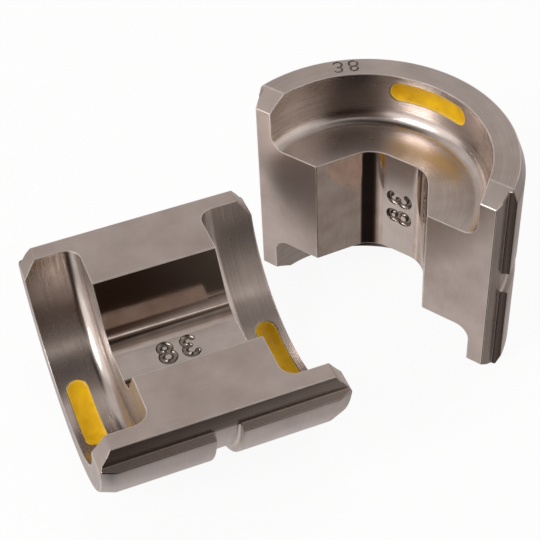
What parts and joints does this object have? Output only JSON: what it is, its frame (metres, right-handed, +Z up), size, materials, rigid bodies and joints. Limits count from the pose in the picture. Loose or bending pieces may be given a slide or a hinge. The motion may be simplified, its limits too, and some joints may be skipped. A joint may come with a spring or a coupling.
{
  "type": "compression die",
  "caption": "Split hexagonal compression die: mating half-round steel halves with dished ends, stepped long edges and a turned mid groove, one lying and one on end.",
  "frame": {"origin": "middle of the pair's footprint, at the level the halves rest on", "axes": "+X along the crimp axis of the lying half, +Z up; the standing half's crimp axis is along +Z"},
  "size_m": [0.0682, 0.0468, 0.0341],
  "materials": {
    "die_steel": "satin ground and turned steel, polished in the crimp cavity",
    "colour_mark": "glossy yellow enamel"
  },
  "bodies": {
    "root": {"lying_half": "die_steel", "lying_far_mark": "colour_mark", "lying_near_mark": "colour_mark", "standing_half": "die_steel", "standing_top_mark": "colour_mark", "standing_foot_mark": "colour_mark"}
  },
  "joints": []
}
